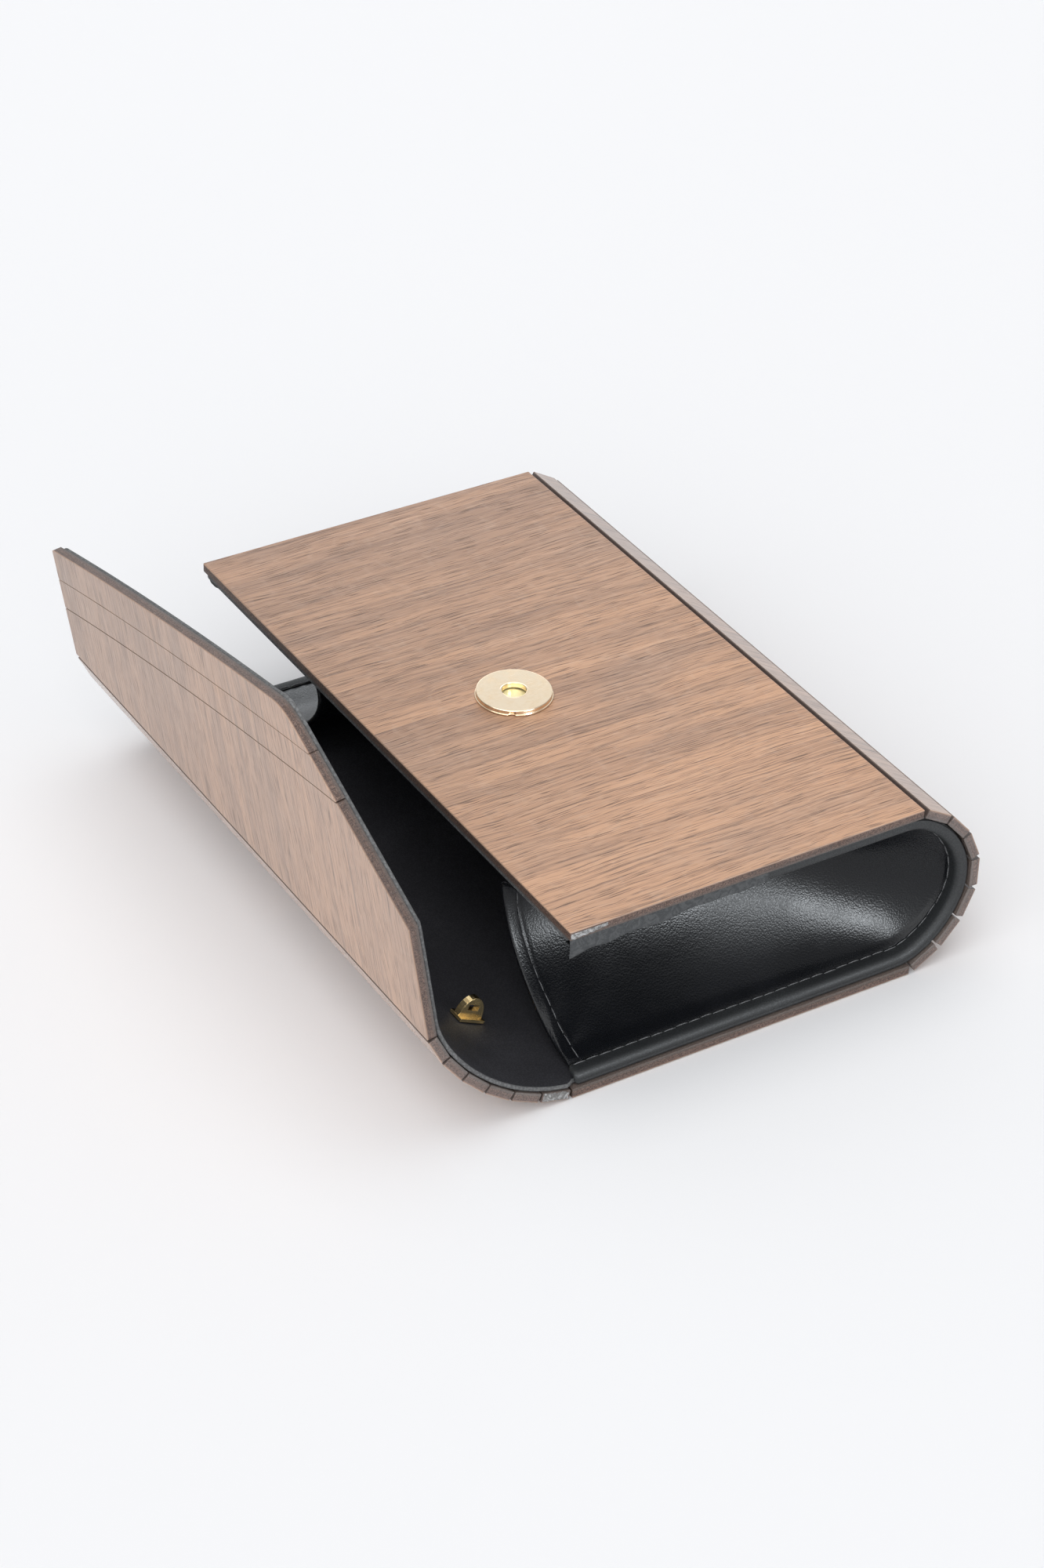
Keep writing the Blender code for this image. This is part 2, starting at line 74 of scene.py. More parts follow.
CASE_RUN = ["front_panel"] + [f"bottom_slat_{i}" for i in range(7, 0, -1)] + ["back_panel"]
WRAP = CASE_RUN + [f"top_slat_{i}" for i in range(1, 7)] + ["flap_panel"]
FLAP_BOARDS = ("flap_panel", "flap_strip_inner", "flap_strip_edge")

Board = namedtuple("Board", "along outward start end outer inner")


def vertices_of(name):
    return np.array([v.co for v in NODES[name].data.vertices], float)


def read_board(name):
    """A board's direction round the case, its outward normal and its extents along both."""
    groups = {}
    for polygon in NODES[name].data.polygons:
        sign = 1 if polygon.normal.dot(UNEVEN) > 0 else -1
        key = tuple(round(sign * c, 2) + 0.0 for c in polygon.normal)
        area, total = groups.get(key, (0.0, Vector()))
        side = polygon.normal if polygon.normal.dot(polygon.center - CASE_MIDDLE) > 0 else -polygon.normal
        groups[key] = (area + polygon.area, total + side * polygon.area)
    outward = max(groups.values())[1].normalized()
    low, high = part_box(name)
    if outward.dot((low + high) / 2 - CASE_MIDDLE) < 0:
        outward = -outward
    along = ACROSS.cross(outward)
    points = vertices_of(name)
    reach = points @ np.array(along)
    depth = points @ np.array(outward)
    return Board(along, outward, reach.min(), reach.max(), depth.max(), depth.min())


BOARDS = {name: read_board(name) for name in WRAP}


def inner_corner(board, place):
    spot = board.along * place + board.outward * board.inner
    return np.array([spot.x, spot.z])


def wrap_corners(names):
    """The inner line of a run of boards seen from the near end: its start, its kerfs and its end."""
    boards = [BOARDS[name] for name in names]
    points = [inner_corner(boards[0], boards[0].start)]
    for before, after in zip(boards, boards[1:]):
        points.append((inner_corner(before, before.end) + inner_corner(after, after.start)) / 2)
    points.append(inner_corner(boards[-1], boards[-1].end))
    return points


PITCH = float(np.linalg.norm(np.subtract(*wrap_corners(WRAP)[2:4])))
TURN_REACH = PITCH / 2 - 1e-5


def unit(vector):
    return vector / np.linalg.norm(vector)


def rounded_path(points, reach, step=0.004, turn_steps=6):
    """Points and inward normals along a line whose corners are rounded over a reach on each side."""
    points = [np.array(p, float) for p in points]
    spots = []
    last = points[0]
    for i in range(1, len(points)):
        ahead = unit(points[i] - points[i - 1])
        stop = points[i] if i == len(points) - 1 else points[i] - ahead * reach
        length = float(np.dot(stop - last, ahead))
        if length > 1e-5:
            count = max(1, round(length / step))
            spots += [(last + ahead * length * k / count, ahead) for k in range(count)]
        if i == len(points) - 1:
            spots.append((stop, ahead))
            break
        after = unit(points[i + 1] - points[i])
        far = points[i] + after * reach
        for k in range(turn_steps):
            t = k / turn_steps
            spot = (1 - t) ** 2 * stop + 2 * t * (1 - t) * points[i] + t**2 * far
            spots.append((spot, unit((1 - t) * ahead + t * after)))
        last = far
    return [(spot, np.array([way[1], -way[0]])) for spot, way in spots]


def marks_along(path):
    """The distance of each point of a path from its start."""
    marks = [0.0]
    for (a, _), (b, _) in zip(path, path[1:]):
        marks.append(marks[-1] + float(np.linalg.norm(b - a)))
    return marks


def bend_at_mouth(piece):
    """Bakes a piece's placement into its mesh."""
    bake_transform(piece)


# ---------------------------------------------------------------- making meshes


def new_object(name, data):
    obj = bpy.data.objects.new(name, data)
    SCENE.collection.objects.link(obj)
    return obj


def add_object(name, mesh, material, smooth=True):
    obj = new_object(name, mesh)
    mesh.materials.append(material)
    if smooth:
        mesh.shade_smooth()
    return obj


def mesh_from(name, points, faces, weld=0.0):
    mesh = bpy.data.meshes.new(name)
    mesh.from_pydata([tuple(p) for p in points], [], faces)
    bm = bmesh.new()
    bm.from_mesh(mesh)
    if weld:
        bmesh.ops.remove_doubles(bm, verts=bm.verts, dist=weld)
    bmesh.ops.recalc_face_normals(bm, faces=bm.faces)
    bm.to_mesh(mesh)
    bm.free()
    return mesh


def tube_faces(rings, count, base=0):
    """A closed tube's faces: a band between each ring of points and the next, and both caps."""
    faces = []
    for i in range(rings - 1):
        for j in range(count):
            k = (j + 1) % count
            faces.append((i * count + j, i * count + k, (i + 1) * count + k, (i + 1) * count + j))
    last = (rings - 1) * count
    faces += [tuple(range(count)), tuple(range(last, last + count))]
    return [tuple(base + n for n in face) for face in faces]


def sweep(name, path, loops, material, sharp):
    """A closed body: a loop of (across, depth) points at each station of a path, with capped ends."""
    points = []
    for (spot, normal), loop in zip(path, loops):
        for across, depth in loop:
            points.append((spot[0] + normal[0] * depth, across, spot[1] + normal[1] * depth))
    mesh = mesh_from(name, points, tube_faces(len(path), len(loops[0])))
    obj = add_object(name, mesh, material)
    mesh.set_sharp_from_angle(angle=math.radians(sharp))
    return obj


def slab_loop(low, high, near, deep, cells=20, corner=4):
    """The section of a sheet with rounded edges: from low to high across, and near to deep."""
    radius = (deep - near) / 2
    middle = (deep + near) / 2
    span = high - low - 2 * radius
    loop = [(low + radius + span * i / cells, deep) for i in range(cells + 1)]
    for i in range(1, corner):
        angle = math.pi / 2 - math.pi * i / corner
        loop.append((high - radius + radius * math.cos(angle), middle + radius * math.sin(angle)))
    loop += [(high - radius - span * i / cells, near) for i in range(cells + 1)]
    for i in range(1, corner):
        angle = -math.pi / 2 - math.pi * i / corner
        loop.append((low + radius + radius * math.cos(angle), middle + radius * math.sin(angle)))
    return loop


def turned(name, profile, matrix, material, segments, shape):
    """A ring turned from a closed profile of (radius, height) points, which shape() may alter."""
    points, faces = [], []
    count = len(profile)
    for i in range(segments):
        angle = 2 * math.pi * i / segments
        k = (i + 1) % segments
        for j, (radius, height) in enumerate(profile):
            r, h = shape(angle, radius, height)
            points.append((r * math.cos(angle), r * math.sin(angle), h))
            n = (j + 1) % count
            faces.append((i * count + j, i * count + n, k * count + n, k * count + j))
    mesh = mesh_from(name, points, faces, 1e-7)
    obj = add_object(name, mesh, material)
    mesh.set_sharp_from_angle(angle=math.radians(35))
    obj.matrix_world = matrix
    return obj


def rounded_profile(points, radius, steps=4):
    """Rounds the corners of a closed profile of (radius, height) points."""
    out = []
    for i, point in enumerate(points):
        here = Vector(point)
        before, after = Vector(points[i - 1]), Vector(points[(i + 1) % len(points)])
        size = min(radius, (before - here).length / 2.2, (after - here).length / 2.2)
        a = here + (before - here).normalized() * size
        b = here + (after - here).normalized() * size
        for k in range(steps + 1):
            t = k / steps
            out.append(tuple((1 - t) ** 2 * a + 2 * t * (1 - t) * here + t**2 * b))
    return out


def add_tube(points, faces, line, radii, sides=6):
    """Adds a closed tube along a line of 3D points, with its own radius at each, to lists of a mesh."""
    base = len(points)
    count = len(line)
    for i, spot in enumerate(line):
        ahead = unit(line[min(i + 1, count - 1)] - line[max(i - 1, 0)])
        side = unit(np.cross(ahead, (0.0, 0.0, 1.0) if abs(ahead[2]) < 0.9 else (1.0, 0.0, 0.0)))
        up = np.cross(side, ahead)
        for j in range(sides):
            angle = 2 * math.pi * j / sides
            points.append(spot + radii[i] * (math.cos(angle) * side + math.sin(angle) * up))
    faces += tube_faces(count, sides, base)


# ---------------------------------------------------------------- materials


class Tree:
    """Adds and links shader nodes with few words."""

    def __init__(self, tree):
        self.tree = tree

    def node(self, kind, **settings):
        made = self.tree.nodes.new(kind if kind.startswith("NodeGroup") else "ShaderNode" + kind)
        for key, value in settings.items():
            setattr(made, key, value)
        return made

    def link(self, source, target):
        self.tree.links.new(source, target)

    def fill(self, made, values):
        """Sets or links a node's inputs, which are given by name or number."""
        for name, value in values.items():
            socket = made.inputs[name]
            if isinstance(value, bpy.types.NodeSocket):
                self.link(value, socket)
            else:
                socket.default_value = value
        return made

    def vector(self, operation, a, b):
        return self.fill(self.node("VectorMath", operation=operation), {0: a, 1: b})

    def scaled(self, vector, scale):
        return self.vector("MULTIPLY", vector, scale).outputs[0]

    def shifted(self, vector, other):
        return self.vector("ADD", vector, other).outputs[0]

    def math(self, operation, a, b):
        return self.fill(self.node("Math", operation=operation), {0: a, 1: b}).outputs[0]

    def add(self, a, b):
        return self.math("ADD", a, b)

    def times(self, a, b):
        return self.math("MULTIPLY", a, b)

    def noise(self, vector, scale, detail, rough, distortion=0.0):
        values = {"Vector": vector, "Scale": scale, "Detail": detail, "Roughness": rough,
                  "Distortion": distortion}
        return self.fill(self.node("TexNoise"), values).outputs["Fac"]

    def drawn_noise(self, place, scales, detail, rough, distortion=0.0):
        """Noise drawn out by its own scale each way."""
        return self.noise(self.scaled(place, scales), 1.0, detail, rough, distortion)

    def ramp(self, value, low, high, start=0.0, end=1.0):
        values = {"Value": value, "From Min": low, "From Max": high, "To Min": start, "To Max": end}
        return self.fill(self.node("MapRange", interpolation_type="SMOOTHSTEP"), values).outputs["Result"]

    def mix(self, share, a, b):
        return self.fill(self.node("Mix", data_type="RGBA"), {0: share, 6: a, 7: b}).outputs[2]

    def stain(self, under, value, low, high, most, over):
        """Lays a colour over another as a value goes from low to high, up to a share."""
        return self.mix(self.ramp(value, low, high, 0.0, most), under, over)

    def bump(self, height, distance, strength, normal=None):
        values = {"Strength": strength, "Distance": distance, "Height": height}
        if normal is not None:
            values["Normal"] = normal
        return self.fill(self.node("Bump"), values).outputs["Normal"]

    def dress(self, shader, base, rough, normal, others=()):
        self.fill(shader, {"Base Color": base, "Roughness": rough, "Normal": normal, **dict(others)})


def new_material(name):
    """A material, its tree and its shader, and the object coordinates that its patterns use."""
    material = bpy.data.materials.new(name)
    material.use_nodes = True
    tree = Tree(material.node_tree)
    shader = material.node_tree.nodes["Principled BSDF"]
    return material, tree, shader, tree.node("TexCoord").outputs["Object"]


def color(red, green, blue):
    return (red, green, blue, 1.0)


def shade(base, factor, lift=0.0):
    return color(*(factor * c + lift for c in base))


def walnut_group():
    """Walnut veneer on a fibre core, in board coordinates: along the grain, across it, and height; a share of
    painted sheen pales the face towards grey-pink.
    """
    group = bpy.data.node_groups.new("walnut", "ShaderNodeTree")
    for name, kind in (("Board", "Vector"), ("Saw", "Float"), ("PaintedSheen", "Float")):
        group.interface.new_socket(name, in_out="INPUT", socket_type="NodeSocket" + kind)
    for name, kind in (("Color", "Color"), ("Roughness", "Float"), ("Normal", "Vector")):
        group.interface.new_socket(name, in_out="OUTPUT", socket_type="NodeSocket" + kind)
    t = Tree(group)
    entry = t.node("NodeGroupInput")
    place = t.scaled(entry.outputs["Board"], (1000.0, 1000.0, 1000.0))
    split = t.fill(t.node("SeparateXYZ"), {0: place})
    height = split.outputs["Z"]

    # The grain wanders across as it runs along.
    wander = t.drawn_noise(place, (0.011, 0.022, 0.0), 2.0, 0.5)
    ripple = t.drawn_noise(place, (0.060, 0.09, 0.0), 2.0, 0.5)
    centred = t.math("SUBTRACT", wander, 0.5)
    drift = t.add(t.times(centred, 5.0), t.times(t.math("SUBTRACT", ripple, 0.5), 1.3))
    push = t.fill(t.node("CombineXYZ"), {"Y": drift})
    grain = t.shifted(place, push.outputs[0])

    bands = t.drawn_noise(grain, (0.006, 0.11, 0.0), 3.0, 0.6)
    # Lighter and warmer towards the near end, darker towards the far end, wandering with the grain.
    near_to_far = t.add(split.outputs["Y"], t.times(centred, 90.0))
    patches = t.drawn_noise(grain, (0.022, 0.035, 0.0), 2.0, 0.5)
    lines = t.drawn_noise(grain, (0.014, 0.95, 0.0), 4.0, 0.64)
    streaks = t.drawn_noise(grain, (0.032, 2.3, 0.0), 3.0, 0.62, 0.1)
    fibres = t.drawn_noise(grain, (0.12, 7.5, 0.0), 2.0, 0.6)
    pores = t.drawn_noise(grain, (0.110, 3.7, 0.0), 2.0, 0.5, 0.1)
    curl = t.drawn_noise(grain, (0.30, 0.22, 0.0), 2.0, 0.5, 0.8)

    # The veneer's face, from its broad bands down to its pores.
    light = color(0.620, 0.343, 0.193)
    middle = color(0.415, 0.229, 0.133)
    dark = color(0.205, 0.115, 0.073)
    body = t.stain(light, bands, 0.36, 0.64, 1.0, middle)
    body = t.stain(body, near_to_far, 10.0, -85.0, 0.42, color(0.660, 0.375, 0.225))
    body = t.stain(body, near_to_far, -20.0, 70.0, 0.40, color(0.280, 0.168, 0.112))
    body = t.stain(body, patches, 0.50, 0.72, 0.30, color(0.330, 0.225, 0.170))
    body = t.stain(body, lines, 0.50, 0.68, 0.66, dark)
    body = t.stain(body, streaks, 0.53, 0.70, 0.75, color(0.160, 0.086, 0.054))
    body = t.stain(body, streaks, 0.47, 0.30, 0.50, color(0.660, 0.420, 0.280))
    body = t.stain(body, fibres, 0.35, 0.75, 0.30, color(0.250, 0.165, 0.120))
    pore = t.ramp(pores, 0.57, 0.65)
    body = t.mix(t.times(pore, 0.72), body, color(0.090, 0.049, 0.032))
    body = t.stain(body, curl, 0.50, 0.80, 0.14, color(0.620, 0.450, 0.340))
    # Painted sheen: the face is mixed towards a pale grey-pink by the board's share, standing in for the
    # glare on its faces.
    body = t.mix(entry.outputs["PaintedSheen"], body, color(0.430, 0.375, 0.350))

    # The board's edge: a thin line of veneer over a red-brown fibre core with pale and dark specks.
    speck = t.noise(place, 2.3, 3.0, 0.65)
    crumb = t.noise(place, 6.0, 2.0, 0.6)
    layers = t.drawn_noise(place, (0.09, 0.09, 3.6), 3.0, 0.6)
    core = t.stain(color(0.070, 0.034, 0.024), speck, 0.40, 0.60, 1.0, color(0.300, 0.175, 0.128))
    core = t.stain(core, crumb, 0.56, 0.64, 0.85, color(0.022, 0.014, 0.012))
    core = t.stain(core, crumb, 0.43, 0.36, 0.75, color(0.560, 0.430, 0.350))
    core = t.stain(core, layers, 0.51, 0.62, 0.60, color(0.055, 0.034, 0.027))
    core = t.stain(core, height, -1.45, -2.00, 0.70, color(0.150, 0.136, 0.122))
    side = t.stain(color(0.310, 0.190, 0.135), height, -0.36, -0.46, 1.0, core)
    side = t.stain(side, height, -0.30, -0.36, 0.50, color(0.060, 0.034, 0.026))
    rubbed = t.stain(body, height, -0.02, -0.12, 1.0, color(0.470, 0.320, 0.230))
    wood = t.stain(rubbed, height, -0.12, -0.22, 1.0, side)
    wood = t.mix(entry.outputs["Saw"], wood, color(0.050, 0.027, 0.019))

    gloss = t.add(t.ramp(fibres, 0.3, 0.7, 0.46, 0.58), t.times(pore, 0.14))
    gloss = t.add(gloss, t.ramp(height, -0.12, -0.30, 0.0, 0.22))
    relief = t.add(t.times(pore, -1.0), t.times(fibres, 0.55))
    relief = t.add(relief, t.times(streaks, 0.35))
    relief = t.add(relief, t.times(t.add(speck, crumb), t.ramp(height, -0.12, -0.30, 0.0, 2.6)))
    normal = t.bump(relief, 0.00007, 0.75)
    t.fill(t.node("NodeGroupOutput"), {"Color": wood, "Roughness": gloss, "Normal": normal})
    return group


WALNUT = walnut_group()


def walnut(board, shift, saw_start, saw_end, painted_sheen, coat, name):
    """The walnut of one board: its grain runs on from the board before it round the case."""
    material, t, shader, where = new_material("walnut_" + name)
    origin = board.along * (board.start - shift) + board.outward * board.outer
    turn = math.atan2(-board.along.z, board.along.x)
    mapping = t.fill(t.node("Mapping", vector_type="TEXTURE"),
                     {"Vector": where, "Location": origin, "Rotation": (0.0, turn, 0.0)})
    facing = t.vector("DOT_PRODUCT", where.node.outputs["Normal"], tuple(board.along)).outputs["Value"]
    saw = t.add(t.ramp(facing, -0.72, -0.90, 0.0, saw_start), t.ramp(facing, 0.72, 0.90, 0.0, saw_end))
    made = t.node("Group")
    made.node_tree = WALNUT
    t.fill(made, {"Board": mapping.outputs[0], "Saw": saw, "PaintedSheen": painted_sheen})
    normal = made.outputs["Normal"]
    others = {"Specular IOR Level": 0.45, "Coat Weight": coat, "Coat Roughness": 0.22, "Coat Normal": normal}
    t.dress(shader, made.outputs["Color"], made.outputs["Roughness"], normal, others)
    return material


def leatherette(name, base, gloss, grain, relief, level=0.5, wear=0.25):
    """Coated cloth: fine pebbles, soft gloss that varies, and slightly paler rubbed patches."""
    material, t, shader, where = new_material(name)
    pebble = t.fill(t.node("TexVoronoi", feature="SMOOTH_F1"),
                    {"Vector": t.shifted(where, (0.31, 0.17, 0.23)), "Scale": grain, "Smoothness": 0.35})
    pebble = pebble.outputs["Distance"]
    fine = t.noise(where, grain * 1.7, 3.0, 0.6)
    patch = t.noise(where, 45.0, 3.0, 0.55)
    wave = t.noise(where, 110.0, 2.0, 0.5)
    tint = t.stain(color(*base), patch, 0.45, 0.75, wear, shade(base, 2.2, 0.004))
    # Painted shade: the tint darkens in the low valleys between the pebbles.
    tint = t.stain(tint, pebble, 0.30, 0.60, 0.55, shade(base, 0.45))
    rough = t.add(t.ramp(patch, 0.3, 0.7, gloss - 0.05, gloss + 0.06), t.ramp(pebble, 0.2, 0.6, 0.0, 0.10))
    height = t.add(t.times(pebble, -1.0), t.times(fine, 0.35))
    normal = t.bump(height, relief, 0.85, t.bump(wave, 0.0004, 0.20))
    t.dress(shader, tint, rough, normal, {"Specular IOR Level": level})
    return material


def gold(name, base, deep, gloss):
    """Gold plate: fine scratches, a soft patchy gloss and a darker tone in random patches."""
    material, t, shader, where = new_material(name)
    patch = t.noise(where, 420.0, 3.0, 0.6)
    fleck = t.noise(t.scaled(where, (1.0, 1.0, 0.3)), 2600.0, 2.0, 0.6)
    scratch = t.drawn_noise(where, (300.0, 5200.0, 900.0), 2.0, 0.6)
    tint = t.stain(color(*base), patch, 0.35, 0.75, 0.6, color(*deep))
    rough = t.add(t.ramp(patch, 0.3, 0.75, gloss, gloss + 0.09), t.ramp(scratch, 0.55, 0.75, 0.0, 0.08))
    normal = t.bump(t.add(t.times(fleck, 0.5), scratch), 0.000010, 0.35)
    t.dress(shader, tint, rough, normal, {"Metallic": 1.0})
    return material


def bare_metal(name, base, gloss):
    material, t, shader, where = new_material(name)
    patch = t.noise(where, 700.0, 3.0, 0.6)
    grit = t.noise(where, 4200.0, 2.0, 0.6)
    tint = t.stain(color(*base), patch, 0.35, 0.7, 1.0, shade(base, 0.6))
    rough = t.ramp(grit, 0.3, 0.7, gloss, gloss + 0.15)
    t.dress(shader, tint, rough, t.bump(grit, 0.00001, 0.5), {"Metallic": 1.0})
    return material


def ferrite():
    material, t, shader, where = new_material("ferrite")
    grit = t.noise(where, 3000.0, 3.0, 0.7)
    tint = t.stain(color(0.030, 0.030, 0.032), grit, 0.4, 0.7, 1.0, color(0.075, 0.075, 0.080))
    t.dress(shader, tint, t.ramp(grit, 0.3, 0.7, 0.55, 0.75), t.bump(grit, 0.00004, 0.6))
    return material


def thread_material():
    """Waxed thread: twisted strands along a soft grey-black cord."""
    material, t, shader, where = new_material("thread")
    strand = t.fill(t.node("TexWave", wave_type="BANDS", bands_direction="DIAGONAL"),
                    {"Vector": where, "Scale": 900.0, "Distortion": 1.5})
    fuzz = t.noise(where, 5000.0, 2.0, 0.6)
    tint = t.stain(color(0.060, 0.062, 0.066), fuzz, 0.35, 0.7, 1.0, color(0.170, 0.172, 0.180))
    rough = t.ramp(fuzz, 0.3, 0.7, 0.38, 0.55)
    t.dress(shader, tint, rough, t.bump(strand.outputs["Fac"], 0.00005, 0.7), {"Sheen Weight": 0.3})
    return material


# The lining's base is lifted above the cloth's black: painted brightness standing in for glare over the dark
# inside of the case.
LINING_LOOK = leatherette("lining_leatherette", (0.0370, 0.0370, 0.0425), 0.42, 2600.0, 0.00003, 0.30)
CUT_EDGE_LOOK = leatherette("lining_cut_edge", (0.1600, 0.1620, 0.1640), 0.75, 1500.0, 0.00008, 0.20, 0.3)
GUSSET_LOOK = leatherette("gusset_leatherette", (0.0070, 0.0078, 0.0100), 0.24, 2400.0, 0.000045, 0.28)
BINDING_LOOK = leatherette("edge_binding", (0.0200, 0.0222, 0.0240), 0.50, 2400.0, 0.00003, 0.45, 0.3)
SNAP_LOOK = gold("snap_gold", (0.930, 0.770, 0.570), (0.860, 0.660, 0.440), 0.15)
SNAP_FLOOR_LOOK = gold("snap_floor_brass", (0.970, 0.920, 0.600), (0.930, 0.840, 0.460), 0.48)
ANCHOR_LOOK = gold("anchor_gold", (0.980, 0.760, 0.400), (0.860, 0.600, 0.250), 0.20)
STEEL_LOOK = bare_metal("washer_steel", (0.55, 0.54, 0.52), 0.30)
FERRITE_LOOK = ferrite()
THREAD_LOOK = thread_material()


# ---------------------------------------------------------------- the wood


def soften(obj, width, segments):
    """Rounds an object's sharp edges with modifiers, leaving its mesh as it is."""
    weld = obj.modifiers.new("weld", "WELD")
    weld.merge_threshold = 0.00001
    bevel = obj.modifiers.new("soft_edge", "BEVEL")
    bevel.width = width
    bevel.segments = segments
    bevel.limit_method = "ANGLE"
    bevel.angle_limit = math.radians(40)


# How much painted sheen each board gets, standing in for the glare it catches and making it paler than the
# panels, and the weight of its gloss coat.
PANEL_PAINTED_SHEEN_AND_COAT = (0.0, 0.25)
SLAT_PAINTED_SHEEN_AND_COAT = (0.12, 0.95)
BRIGHT_SLAT_PAINTED_SHEEN_AND_COAT = (0.40, 0.95)
FLAP_PAINTED_SHEEN_AND_COAT = (0.36, 0.35)


def give_look(name, look):
    """Gives a CAD node its material."""
    NODES[name].data.materials.clear()
    NODES[name].data.materials.append(look)


def dress_wood():
    """Each board gets the walnut at its own place round the case; the flap's sawn pieces get soft edges."""
    shift = 0.0
    for name in WRAP:
        board = BOARDS[name]
        first = name == "front_panel"
        last = name == "flap_panel"
        # Each board's share of painted sheen, and its coat weight.
        painted_sheen_and_coat = FLAP_PAINTED_SHEEN_AND_COAT if last else PANEL_PAINTED_SHEEN_AND_COAT
        if "slat" in name:
            painted_sheen_and_coat = BRIGHT_SLAT_PAINTED_SHEEN_AND_COAT if name in ("bottom_slat_7", "top_slat_6") else SLAT_PAINTED_SHEEN_AND_COAT
        look = walnut(board, shift, 0.0 if first else 0.85, 0.4 if last else 0.85, *painted_sheen_and_coat, name)
        give_look(name, look)
        shift += board.end - board.start
    flap = BOARDS["flap_panel"]
    start = shift - (flap.end - flap.start)
    for name in FLAP_BOARDS[1:]:
        look = walnut(flap, start, 0.7, 0.0, *FLAP_PAINTED_SHEEN_AND_COAT, name)
        give_look(name, look)
    for name in FLAP_BOARDS:
        soften(NODES[name], 0.18 * MM, 2)


dress_wood()


# ---------------------------------------------------------------- the lining

SKIN_NEAR = 0.10 * MM
SKIN_DEEP = 1.10 * MM
EDGE_INSET = 0.35 * MM
TUCKED_INSET = 1.5 * MM
LINING_CELLS = 28
EDGE_STEPS = 4


def straight_sides(path, inset=EDGE_INSET):
    side = HALF - inset
    return [(-side, side)] * len(path)


def seam_sides(path):
    """The sheet's edges come out from behind the bindings where the case's mouth ends."""
    sides = []
    for spot, _ in path:
        past = min(max((BACK_LOW.x + 0.6 * MM - spot[0]) / (1.2 * MM), 0.0), 1.0)
        side = HALF - TUCKED_INSET + (TUCKED_INSET - EDGE_INSET) * past
        sides.append((-side, side))
    return sides


def lining_piece(name, path, sides):
    loops = [slab_loop(low, high, SKIN_NEAR, SKIN_DEEP, LINING_CELLS, EDGE_STEPS) for low, high in sides]
    piece = sweep(name, path, loops, LINING_LOOK, 60.0)
    piece.data.materials.append(CUT_EDGE_LOOK)
    half = LINING_CELLS + EDGE_STEPS
    for polygon in piece.data.polygons:
        step = polygon.index % (2 * half)
        raw = step % half >= LINING_CELLS or polygon.index >= 2 * half * (len(path) - 1)
        polygon.material_index = 1 if raw else 0
    return piece


def hull(points):
    """The convex outline of flat points, in order."""
    points = sorted(set((round(float(a), 6), round(float(b), 6)) for a, b in points))
    chains = []
    for ordered in (points, points[::-1]):
        chain = []
        for p in ordered:
            while len(chain) > 1:
                (ax, ay), (bx, by) = chain[-2], chain[-1]
                if (bx - ax) * (p[1] - ay) - (by - ay) * (p[0] - ax) > 0:
                    break
                chain.pop()
            chain.append(p)
        chains.append(chain[:-1])
    return chains[0] + chains[1]


def sides_at(outline, up):
    """Where an outline of (up, across) points is crossed at one height."""
    found = []
    for (ua, ya), (ub, yb) in zip(outline, outline[1:] + outline[:1]):
        if (ua - up) * (ub - up) <= 0 and abs(ub - ua) > 1e-9:
            found.append(ya + (yb - ya) * (up - ua) / (ub - ua))
    return (min(found), max(found))


def build_case_lining():
    """One sheet from the front panel's mouth edge round the bottom bend to the back panel's mouth."""
    corners = wrap_corners(CASE_RUN)
    corners[0] = corners[0] + np.array([EDGE_INSET, 0.0])
    corners[-1] = corners[-1] + np.array([0.008, 0.0])
    path = rounded_path(corners, TURN_REACH)
    piece = lining_piece("lining_case", path, straight_sides(path, TUCKED_INSET))
    bend_at_mouth(piece)
    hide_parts("back_lining", "front_lining")
    return corners[-1]


def build_fold_linings(seam):
    """The sheet goes on over the top bend: a piece over each kerf, from mid-slat to mid-slat."""
    kerfs = [np.array([JOINTS[f"flap_fold_{i}"]["pos_m"][0], JOINTS[f"flap_fold_{i}"]["pos_m"][2]])
             for i in range(1, 8)]
    flap = BOARDS["flap_panel"]
    flap_way = np.array([flap.along.x, flap.along.z])
    outline = []
    for name in FLAP_BOARDS:
        points = vertices_of(name)
        up = points[:, [0, 2]] @ flap_way - kerfs[-1] @ flap_way
        outline += list(zip(up, points[:, 1]))
    outline = hull(outline)
    top = max(up for up, _ in outline) - EDGE_INSET
    stops = [a + (b - a) * 0.5 for a, b in zip(kerfs, kerfs[1:])]
    for i, kerf in enumerate(kerfs):
        low = seam if i == 0 else stops[i - 1]
        high = kerf + flap_way * top if i == 6 else stops[i]
        step = 0.004 if 0 < i < 6 else 0.0012
        path = rounded_path([low, kerf, high], TURN_REACH, step, 8)
        sides = seam_sides(path) if i == 0 else straight_sides(path)
        if i == 6:
            sides = []
            for spot, _ in path:
                up = max(float((spot - kerf) @ flap_way), 0.001)
                left, right = sides_at(outline, min(up + EDGE_INSET, top))
                sides.append((left + EDGE_INSET, max(right - EDGE_INSET, left + EDGE_INSET + 0.003)))
        name = "lining_flap" if i == 6 else f"lining_fold_{i + 1}"
        piece = lining_piece(name, path, sides)
        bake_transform(piece)
        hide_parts("flap_lining" if i == 6 else f"top_slat_lining_{i + 1}")


build_fold_linings(build_case_lining())


# ---------------------------------------------------------------- gussets and bindings

RIBBON_FACE = 83.38 * MM
RIBBON_TAIL = 79.6 * MM


def shell_path(inset, step=0.003):
    """The U of the open end from the back's mouth to the front's; normals point into the case."""
    corners = wrap_corners(CASE_RUN)[::-1]
    corners[0] = np.array([BACK_LOW.x + inset, corners[0][1]])
    corners[-1] = corners[-1] + np.array([inset, 0.0])
    path = rounded_path(corners, TURN_REACH, step)
    return [(spot, -normal) for spot, normal in path]


